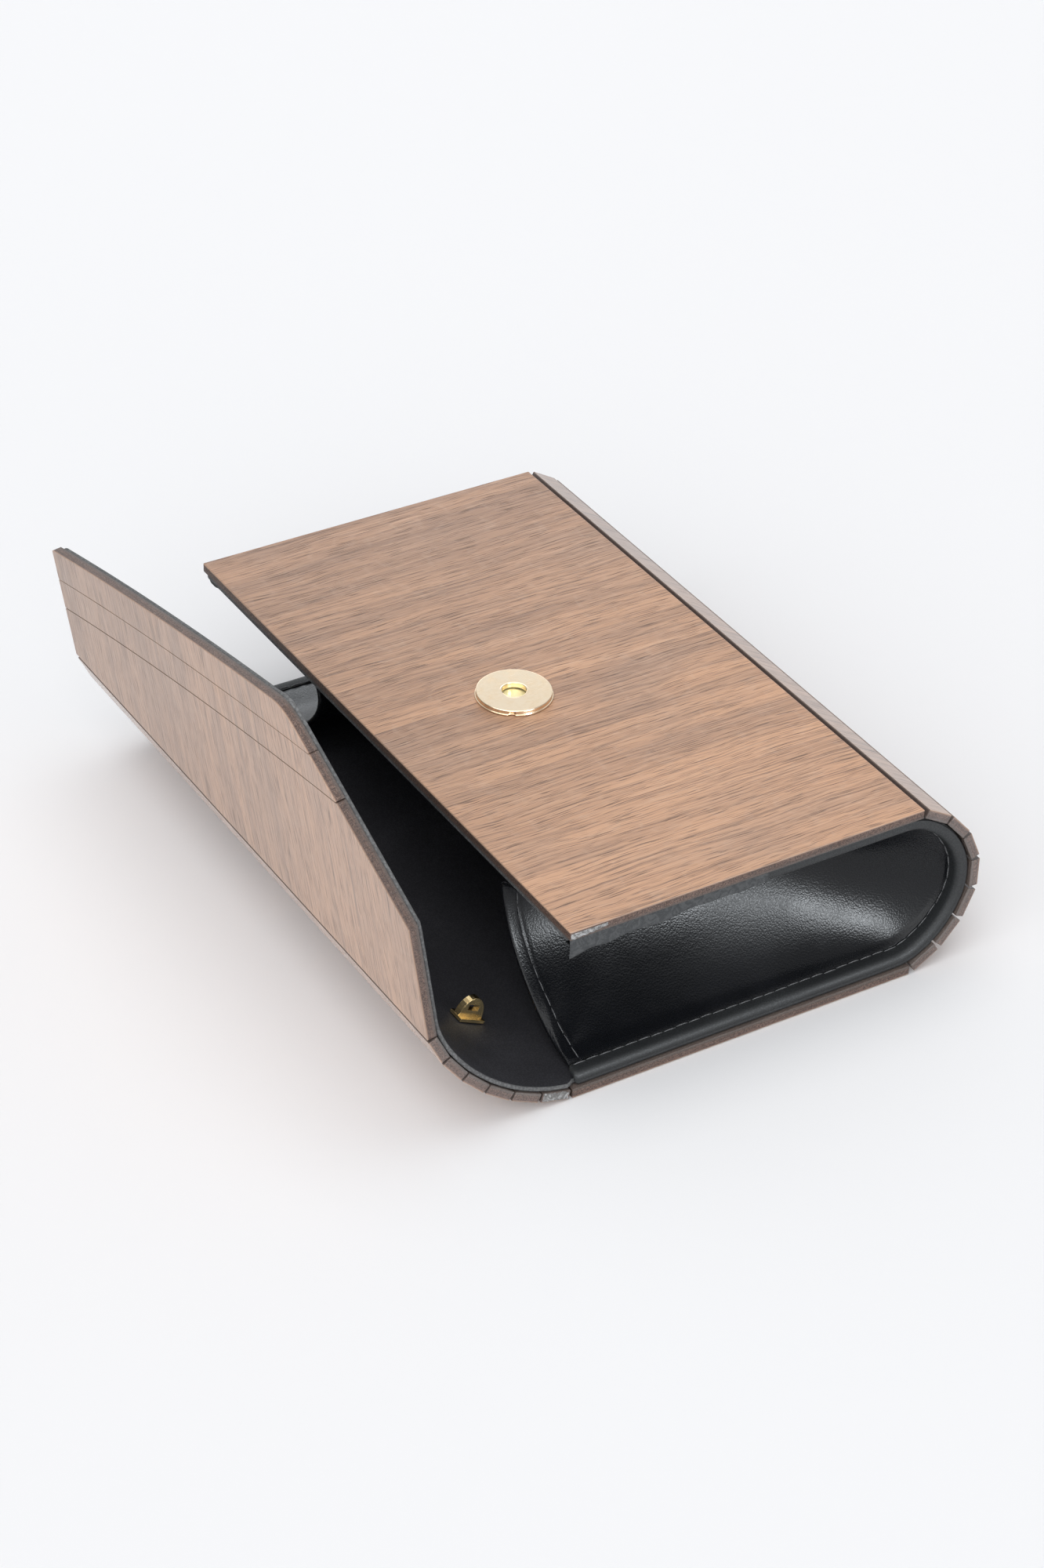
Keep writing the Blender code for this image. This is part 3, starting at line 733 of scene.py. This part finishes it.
def binding_section():
    """A ribbon folded over the lip: a narrow face at the open end, a soft bead, and a wall going in."""
    face, tail = RIBBON_FACE, RIBBON_TAIL
    half = (face + tail) / 2
    outer = [(-0.22, 0.33), (-0.05, 0.42), (0.0, 0.62), (0.01, 0.90), (-0.09, 1.12), (-0.02, 1.36)]
    outer += [(0.01, 1.7), (-0.03, 2.0), (-0.14, 2.35), (-0.36, 2.68), (-0.66, 2.95), (-1.06, 3.12)]
    outer += [(-1.5, 3.18)]
    turn = [(half, 3.16), (tail + 0.3 * MM, 3.22), (tail, 3.10), (tail + 0.05 * MM, 2.80), (half, 2.76)]
    inner = [(-1.1, 2.72), (-0.70, 2.52), (-0.52, 2.15), (-0.46, 1.4), (-0.45, 0.5)]
    loop = [(face + out * MM, deep * MM) for out, deep in outer]
    loop += [(across, deep * MM) for across, deep in turn]
    loop += [(face + out * MM, deep * MM) for out, deep in inner]
    return loop


def build_binding(end, sign):
    section = binding_section()
    middle = (sum(a for a, _ in section) / len(section), sum(d for _, d in section) / len(section))
    path = shell_path(1.0 * MM, 0.0025)
    soft = 1.2 * MM
    steps = [0.15, 0.4, 0.8, 1.3, 2.0]

    def close_to(tip, inner):
        """Extra stations close to an end of the path, for its rounded tip."""
        away = float(np.linalg.norm(inner[0] - tip[0]))
        return [(tip[0] + (inner[0] - tip[0]) * s * MM / away, tip[1]) for s in steps]

    first, last = close_to(path[0], path[1]), close_to(path[-1], path[-2])[::-1]
    path = path[:1] + first + path[1:-1] + last + path[-1:]
    lengths = marks_along(path)
    loops = []
    for length in lengths:
        edge = min(length, lengths[-1] - length)
        size = math.sqrt(max(0.0, 1 - (1 - min(edge / soft, 1.0)) ** 2)) * 0.75 + 0.25
        wave = 0.05 * MM * noise.noise(Vector((length * 90, sign * 3.0, 0.5)))
        loops.append([(sign * (middle[0] + (a - middle[0]) * size + wave), middle[1] + (d - middle[1]) * size)
                      for a, d in section])
    piece = sweep(f"binding_{end}", path, loops, BINDING_LOOK, 75.0)
    bend_at_mouth(piece)
    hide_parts(f"binding_back_{end}", f"binding_front_{end}")


GUSSET_ROWS = 30
GUSSET_EDGE = 2.95 * MM
GUSSET_BORDER = RIBBON_TAIL - 0.12 * MM
GUSSET_SKIN = 0.8 * MM
Fold = namedtuple("Fold", "at below above recess drift")
FOLDS = {-1: Fold(0.85, 0.68, 1.0, 0.0, 0.38), 1: Fold(0.40, 0.50, 0.75, 9.5 * MM, 0.0)}
HEM_WIDTH = 3.9 * MM
STITCH_IN = 3.0 * MM
THREAD_RADIUS = 0.13 * MM


def smooth(value):
    value = min(max(value, 0.0), 1.0)
    return value * value * (3 - 2 * value)


def fold_share(up, at, fold):
    """How far in the skin stands at a share of its height, as a part of the deepest."""
    if up < at:
        return math.sin(math.pi / 2 * up / at) ** fold.below
    return max(0.0, math.cos(math.pi / 2 * (up - at) / (1 - at))) ** fold.above


class Gusset:
    """The outer surface of a gusset: a bowl that folds inward and is deepest at the mouth."""

    def __init__(self, end, sign):
        low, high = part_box(f"gusset_{end}")
        self.sign = sign
        self.fold = FOLDS[sign]
        deepest = min(abs(low.y), abs(high.y))
        self.depth = GUSSET_BORDER - deepest - GUSSET_SKIN - 0.3 * MM
        self.start = BACK_LOW.x + 1.7 * MM
        self.stop = high.x + 0.0008
        self.centre = np.array([BACK_HIGH.x - 0.0015, DEPTH / 2])
        rim = [spot + normal * GUSSET_EDGE for spot, normal in shell_path(0.0, 0.002)]
        rim = [p - self.centre for p in rim if p[0] > self.centre[0] - 0.004]
        angles = [math.atan2(p[1], p[0]) for p in rim]
        order = np.argsort(angles)
        self.angles = np.array(angles)[order]
        self.radii = np.array([float(np.linalg.norm(p)) for p in rim])[order]
        self.low = WOOD + GUSSET_EDGE
        self.high = DEPTH - WOOD - GUSSET_EDGE
        self.middle = (self.low + self.high) / 2
        rim = [p + self.centre for p in rim]
        self.floor = np.array(sorted([p for p in rim if p[1] < self.middle], key=lambda p: p[0]))
        self.roof = np.array(sorted([p for p in rim if p[1] >= self.middle], key=lambda p: p[0]))

    def height(self, x, z):
        """How far the skin stands in from the border."""
        low, high = self.low, self.high
        if x > self.centre[0] - 0.003:
            low = float(np.interp(x, self.floor[:, 0], self.floor[:, 1]))
            high = float(np.interp(x, self.roof[:, 0], self.roof[:, 1]))
        up = min(max((z - low) / max(high - low, 1e-5), 0.0), 1.0)
        along = min(max((x - self.start) / (self.stop - self.start), 0.0), 1.0)
        deep = self.depth * (1 - along**2)
        rim = min(z - low, high - z)
        crumple = noise.noise(Vector((x * 55, self.sign * 7.0, z * 70)))
        soft = 0.5 * MM * crumple * smooth(rim / (6 * MM)) * (1 - 0.5 * along)
        at = self.fold.at - self.fold.drift * smooth((along - 0.45) / 0.55)
        fold = deep * fold_share(up, at, self.fold) * smooth(0.25 + rim / (1.4 * MM))
        return fold + soft + self.corner_folds(x, z)

    def corner_folds(self, x, z):
        """Short pinched creases where the mouth's hem runs into the binding."""
        total = 0.0
        for level, way in ((self.low, 1.0), (self.high, -1.0)):
            dx, dz = x - self.start, (z - level) * way
            away = math.hypot(dx, dz)
            if 0.0005 < away < 0.022:
                angle = math.atan2(dz, dx)
                fade = math.exp(-((away - 0.005) / 0.005) ** 2)
                total += 0.5 * MM * fade * math.sin(angle * 9.0 + 0.6)
        return total

    def place(self, x, z):
        return np.array([x, self.sign * (GUSSET_BORDER - self.height(x, z)), z])

    def straight(self, x, share):
        """A spot on the straight part; the mouth's edge is pulled in along the case at the fold."""
        spot = self.place(x, self.middle + share * (self.high - self.low) / 2)
        along = (x - self.start) / (self.stop - self.start)
        spot[0] += self.fold.recess * max(0.0, 1 - along / 0.8) ** 2 * math.cos(math.pi / 2 * share)
        return spot

    def fan(self, angle, share):
        radius = float(np.interp(angle, self.angles, self.radii))
        spot = self.centre + share * radius * np.array([math.cos(angle), math.sin(angle)])
        return self.place(spot[0], spot[1])


def thicken(name, points, faces, inward, lift, thickness, material):
    """A closed skin: the sheet raised by its lift, a copy inward by its thickness, and the rim between."""
    mesh = mesh_from(name + "_face", points, faces)
    normals = np.array([v.normal for v in mesh.vertices])
    bpy.data.meshes.remove(mesh)
    points = np.array(points)
    inside = normals * np.sign(np.sum(normals * inward, axis=1, keepdims=True))
    front = points - inside * np.array(lift)[:, None]
    back = points + inside * np.array(thickness)[:, None]
    count = len(points)
    all_faces = list(faces) + [tuple(count + i for i in reversed(face)) for face in faces]
    uses = {}
    for face in faces:
        for a, b in zip(face, face[1:] + face[:1]):
            uses.setdefault((min(a, b), max(a, b)), []).append((a, b))
    for pair in uses.values():
        if len(pair) == 1:
            a, b = pair[0]
            all_faces.append((b, a, count + a, count + b))
    return add_object(name, mesh_from(name, np.vstack([front, back]), all_faces), material)


def hem_lift(run):
    """The hem stands proud of the skin, with a groove along its stitches and a rounded fold."""
    swell = 0.15 * MM * (1 - smooth((run - 0.85 * HEM_WIDTH) / (0.22 * HEM_WIDTH)))
    groove = 0.14 * MM * math.exp(-((run - STITCH_IN) / (0.35 * MM)) ** 2)
    edge = 0.30 * MM * max(0.0, 1 - run / (0.7 * MM)) ** 2
    return swell - groove - edge


def gusset_grid(shape):
    """The sheet's points and faces: columns along the straight part, and a fan round the bend."""
    rows = GUSSET_ROWS
    steps = [math.sin(math.pi / 2 * j / rows) for j in range(rows + 1)]
    shares = [-s for s in steps[:0:-1]] + steps
    hem = [0.0, 0.15, 0.4, 0.8, 1.4, 2.0, 2.5, 2.8, 3.1, 3.4, 3.7, 4.1, 4.6]
    xs = [shape.start + h * MM for h in hem]
    count = 56
    xs += [xs[-1] + (shape.centre[0] - xs[-1]) * (i + 1) / count for i in range(count)]
    points, faces, lift, thick = [], [], [], []
    for x in xs:
        run = x - shape.start
        for share in shares:
            points.append(shape.straight(x, share))
            lift.append(hem_lift(run) * smooth((1 - abs(share)) * 60))
            thick.append(GUSSET_SKIN - 0.2 * MM * max(0.0, 1 - run / (0.7 * MM)) ** 2)
    width = len(shares)
    for i in range(len(xs) - 1):
        for j in range(width - 1):
            faces.append((i * width + j, (i + 1) * width + j, (i + 1) * width + j + 1, i * width + j + 1))
    last = (len(xs) - 1) * width
    middle = last + rows
    spokes = 44
    ring = {0: [last + rows - j for j in range(rows + 1)], spokes: [last + rows + j for j in range(rows + 1)]}
    for i in range(1, spokes):
        angle = -math.pi / 2 + math.pi * i / spokes
        ring[i] = [middle]
        for j in range(1, rows + 1):
            ring[i].append(len(points))
            points.append(shape.fan(angle, steps[j]))
            lift.append(0.0)
            thick.append(GUSSET_SKIN)
    for i in range(spokes):
        a, b = ring[i], ring[i + 1]
        faces.append((middle, a[1], b[1]))
        for j in range(1, rows):
            faces.append((a[j], a[j + 1], b[j + 1], b[j]))
    return points, faces, lift, thick


def build_gusset(end, sign):
    shape = Gusset(end, sign)
    points, faces, lift, thick = gusset_grid(shape)
    inward = np.array([0.0, -sign, 0.0])
    piece = thicken(f"gusset_skin_{end}", points, faces, inward, lift, thick, GUSSET_LOOK)
    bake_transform(piece)
    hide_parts(f"gusset_{end}")
    area = 0.0
    stack = np.array(points)
    for face in faces:
        a = stack[face[0]]
        for i in range(1, len(face) - 1):
            area += float(np.linalg.norm(np.cross(stack[face[i]] - a, stack[face[i + 1]] - a))) / 2
    return shape, piece, area


def stitch_run(name, line, outward, length, gap, wobble, seed):
    """A row of raised stitches along a line of 3D points, standing out along the given normals."""
    radius = THREAD_RADIUS
    stack = np.array(line)
    normals = np.array(outward)
    steps = np.linalg.norm(stack[1:] - stack[:-1], axis=1)
    marks = np.concatenate([[0.0], np.cumsum(steps)])

    def at(s, values):
        return np.array([np.interp(s, marks, values[:, k]) for k in range(3)])

    points, faces = [], []
    s = gap
    k = 0
    while s + length < marks[-1]:
        size = length * (1 + 0.14 * noise.noise(Vector((k * 1.3, seed, 2.3))))
        shift = wobble * noise.noise(Vector((k * 0.7, seed, 0.3)))
        row, radii = [], []
        for i in range(7):
            share = i / 6
            rise = math.sin(math.pi * share)
            up = at(s + size * share, normals)
            spot = at(s + size * share, stack) + up * (radius * 0.9 * rise - radius * 0.45)
            row.append(spot + np.array([0.0, 1.0, 0.0]) * shift)
            radii.append(radius * (0.45 + 0.55 * rise ** 0.5))
        add_tube(points, faces, row, radii)
        s += size + gap
        k += 1
    return add_object(name, mesh_from(name, points, faces), THREAD_LOOK)


def build_stitches(end, sign, shape):
    x = shape.start + STITCH_IN
    last = 160
    line = [shape.straight(x, math.sin(math.pi / 2 * (-0.94 + 1.88 * i / last))) for i in range(last + 1)]
    ways = []
    for i in range(last + 1):
        up = line[min(i + 1, last)] - line[max(i - 1, 0)]
        way = np.cross(up, (1.0, 0.0, 0.0))
        ways.append(unit(way * (1 if way[1] * sign > 0 else -1)))
    line = [spot + way * 0.08 * MM for spot, way in zip(line, ways)]
    hem = stitch_run(f"hem_stitches_{end}", line, ways, 2.9 * MM, 0.5 * MM, 0.15 * MM, 1.0 + sign)
    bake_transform(hem)
    line, ways = [], []
    for spot, normal in shell_path(2.2 * MM, 0.002):
        at = spot + normal * 3.26 * MM
        line.append(np.array([at[0], sign * (RIBBON_TAIL + 0.45 * MM), at[1]]))
        ways.append(np.array([normal[0], 0.0, normal[1]]))
    seam = stitch_run(f"seam_stitches_{end}", line, ways, 3.0 * MM, 0.28 * MM, 0.40 * MM, 5.0 + sign)
    bend_at_mouth(seam)
    return hem, seam


for END, SIGN in (("near", -1), ("far", 1)):
    BOWL, SKIN, CUT = build_gusset(END, SIGN)
    HEM_ROW, SEAM_ROW = build_stitches(END, SIGN, BOWL)
    build_binding(END, SIGN)


# ---------------------------------------------------------------- dried glue at the near end

Patch = namedtuple("Patch", "name body corner along down size end lump")


def glue_material(name, dull, bright, gloss, relief):
    """Dried glue: milky swirls over a grey film."""
    material, t, shader, where = new_material(name)
    swirl = t.noise(where, 420.0, 4.0, 0.6, 2.2)
    fleck = t.noise(where, 2600.0, 2.0, 0.6)
    tint = t.stain(color(*dull), swirl, 0.42, 0.60, 1.0, color(*bright))
    tint = t.stain(tint, fleck, 0.58, 0.70, 0.4, shade(bright, 1.7))
    rough = t.ramp(swirl, 0.3, 0.7, gloss + 0.15, gloss)
    t.dress(shader, tint, rough, t.bump(t.add(swirl, t.times(fleck, 0.3)), relief, 0.7))
    return material


def build_glue(patch, look, seed):
    """A thin lumpy film with an uneven lower edge, on a face that looks to the near side."""
    columns, rows = 48, 10
    points, lift, faces = [], [], []
    for i in range(columns + 1):
        share = i / columns
        reach = 1 + (patch.end - 1) * share
        reach *= 1 + 0.30 * noise.noise(Vector((share * 9.0, seed, 0.2)))
        for j in range(rows + 1):
            deep = j / rows
            wave = 0.3 * MM * noise.noise(Vector((deep * 3.0, seed + share, 4.1)))
            spot = patch.corner + patch.along * (patch.size[0] * share + wave)
            spot = spot + patch.down * (patch.size[1] * reach * deep)
            points.append(np.array(spot))
            rough = abs(noise.noise(Vector((share * patch.size[0] * 900, deep * patch.size[1] * 450, seed))))
            shut = min(1.0, 6 * share, 6 * (1 - share), 5 * deep + 0.3, 5 * (1 - deep))
            lift.append(patch.lump * (0.25 + 1.1 * rough) * shut)
    for i in range(columns):
        for j in range(rows):
            k = i * (rows + 1) + j
            faces.append((k, k + rows + 1, k + rows + 2, k + 1))
    inward = np.array([0.0, 1.0, 0.0])
    piece = thicken(patch.name, points, faces, inward, lift, [0.02 * MM] * len(points), look)
    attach(piece, patch.body)


def build_residue():
    """A dulled strip under the front panel's corner, lumps on its edge, and a film on the first slat."""
    right, fall = Vector((1.0, 0.0, 0.0)), Vector((0.0, 0.0, -1.0))
    strip_at = Vector((FRONT_LOW.x + 0.3 * MM, -RIBBON_FACE - 0.12 * MM, DEPTH - WOOD - 0.1 * MM))
    edge_at = Vector((FRONT_LOW.x + 0.2 * MM, -HALF - 0.02 * MM, DEPTH - 0.55 * MM))
    slat = BOARDS["top_slat_1"]
    slat_at = slat.along * (slat.start + 0.3 * MM) + slat.outward * (slat.outer - 0.2 * MM)
    slat_at.y = -HALF - 0.02 * MM
    slat_size = (slat.end - slat.start - 0.6 * MM, WOOD - 0.4 * MM)
    film = glue_material("glue_film", (0.150, 0.145, 0.140), (0.420, 0.420, 0.420), 0.30, 0.00030)
    dust = glue_material("glue_dulled", (0.030, 0.033, 0.036), (0.060, 0.064, 0.067), 0.55, 0.00005)
    strip = Patch("glue_strip", "front", strip_at, right, fall, (50 * MM, 4.4 * MM), 0.50, 0.06 * MM)
    lumps = Patch("glue_lumps", "front", edge_at, right, fall, (9 * MM, 1.7 * MM), 0.45, 0.45 * MM)
    coat = Patch("glue_film", "top_slat_1", slat_at, slat.along, -slat.outward, slat_size, 1.0, 0.12 * MM)
    build_glue(strip, dust, 1.7)
    build_glue(lumps, film, 4.2)
    build_glue(coat, film, 8.9)


build_residue()


# ---------------------------------------------------------------- snap and chain anchors


def build_snap():
    """A finer cover for the snap's magnet half: domed face, rolled rim, thin flange, and a blind hole."""
    low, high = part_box("snap_female_cover")
    centre = (low + high) / 2
    radius = (high.x - low.x) / 2
    top = high.z - low.z
    hole = 2.85 * MM
    wall = 0.5 * MM
    profile = [(hole, 0.10 * MM), (hole, top - 0.05 * MM), (hole + 0.10 * MM, top)]
    profile += [(hole + 0.30 * MM, top), (hole + 0.42 * MM, top - 0.05 * MM), (radius - 0.40 * MM, top)]
    profile += [(radius - 0.24 * MM, top - 0.14 * MM), (radius - 0.24 * MM, 0.34 * MM)]
    profile += [(radius, 0.30 * MM), (radius, 0.0)]
    profile += [(radius - wall - 0.24 * MM, 0.0), (radius - wall - 0.24 * MM, top - 0.35 * MM)]
    profile += [(hole + wall, top - 0.35 * MM), (hole + wall, 0.10 * MM)]
    notch_at = math.radians(-124)

    def notched(angle, r, h):
        away = abs((angle - notch_at + math.pi) % (2 * math.pi) - math.pi)
        if away < math.radians(4.0) and r > radius - 0.3 * MM and h < 0.7 * MM:
            return r - 0.55 * MM, h
        return r, h

    matrix = Matrix.Translation((centre.x, centre.y, low.z))
    cover = turned("snap_cover", rounded_profile(profile, 0.10 * MM), matrix, SNAP_LOOK, 128, notched)
    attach(cover, "front")
    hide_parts("snap_female_cover")


build_snap()

for NAME, LOOK in (("snap_female_base", SNAP_FLOOR_LOOK), ("snap_male_disc", SNAP_LOOK),
                   ("snap_magnet", FERRITE_LOOK), ("snap_female_washer", STEEL_LOOK),
                   ("snap_male_washer", STEEL_LOOK), ("chain_anchor_near", ANCHOR_LOOK),
                   ("chain_anchor_far", ANCHOR_LOOK)):
    give_look(NAME, LOOK)
    if NAME.startswith(("chain", "snap_male_disc")):
        soften(NODES[NAME], 0.22 * MM, 3)


# ---------------------------------------------------------------- stage, light and camera


def build_stage():
    mesh = bpy.data.meshes.new("floor")
    far = 30
    mesh.from_pydata([(-far, -far, 0), (far, -far, 0), (far, far, 0), (-far, far, 0)], [], [(0, 1, 2, 3)])
    material, t, shader, where = new_material("floor_paper")
    cloud = t.noise(where, 2.0, 2.0, 0.5)
    tint = t.mix(cloud, color(0.850, 0.850, 0.862), color(0.865, 0.865, 0.876))
    t.fill(shader, {"Base Color": tint, "Roughness": 0.9, "Specular IOR Level": 0.1})
    floor = add_object("floor", mesh, material, False)
    floor.location.z = -0.0002


def add_light(name, kind, way, energy, tint):
    light = bpy.data.lights.new(name, kind)
    light.energy = energy
    light.color = tint
    obj = new_object(name, light)
    obj.rotation_mode = "QUATERNION"
    obj.rotation_quaternion = Vector(way).to_track_quat("Z", "Y")
    return obj


def add_sun(name, way, strength, angle, tint):
    add_light(name, "SUN", way, strength, tint).data.angle = math.radians(angle)


def build_light():
    world = bpy.data.worlds.new("studio")
    SCENE.world = world
    world.use_nodes = True
    background = world.node_tree.nodes["Background"]
    background.inputs["Color"].default_value = (0.965, 0.975, 1.0, 1.0)
    background.inputs["Strength"].default_value = 0.46
    add_sun("overhead", (-0.05, 0.05, 1.0), 0.93, 52.0, (1.0, 0.99, 0.975))
    add_sun("front_fill", (-0.45, -1.0, 0.50), 0.50, 70.0, (0.98, 0.99, 1.0))
    add_sun("left_fill", (-1.0, -0.60, 0.95), 1.46, 64.0, (0.97, 0.99, 1.0))
    add_card("softbox", (0.165, -0.910, 0.360), (0.44, 0.46), 17.5)
    add_card("far_card", (0.362, 0.896, 0.240), (0.80, 0.32), 2.1)
    add_card("back_card", (0.48, 0.74, 0.58), (1.8, 1.4), 3.8)


CARD_TARGET = Vector((0.025, -0.07, 0.016))
CARD_DISTANCE = 1.3


def add_card(name, way, size, energy):
    """A wide soft reflection: it only shows in gloss, and turns to the middle of the near gusset."""
    way = Vector(way).normalized()
    obj = add_light(name, "AREA", way, energy, (0.91, 0.96, 1.0))
    obj.data.shape = "RECTANGLE"
    obj.data.size, obj.data.size_y = size
    obj.location = CARD_TARGET + way * CARD_DISTANCE
    obj.visible_diffuse = False


# The camera that was fitted to the front panel's corners.
CAMERA_PLACE = (-0.381026, -0.606593, 0.512044)
CAMERA_RIGHT = Vector((0.85830104, -0.51275383, 0.02007073))
CAMERA_UP = Vector((0.27790628, 0.49735749, 0.82182944))


def build_camera():
    data = bpy.data.cameras.new("camera")
    data.lens = 86.0
    data.sensor_width = 36.0
    camera = new_object("camera", data)
    back = CAMERA_RIGHT.cross(CAMERA_UP).normalized()
    turn = Matrix((CAMERA_RIGHT, CAMERA_UP, back)).transposed()
    camera.matrix_world = Matrix.Translation(CAMERA_PLACE) @ turn.to_4x4()
    data.clip_start = 0.01
    data.clip_end = 200.0
    SCENE.camera = camera


build_stage()
build_light()
build_camera()
SCENE.view_settings.view_transform = "Standard"
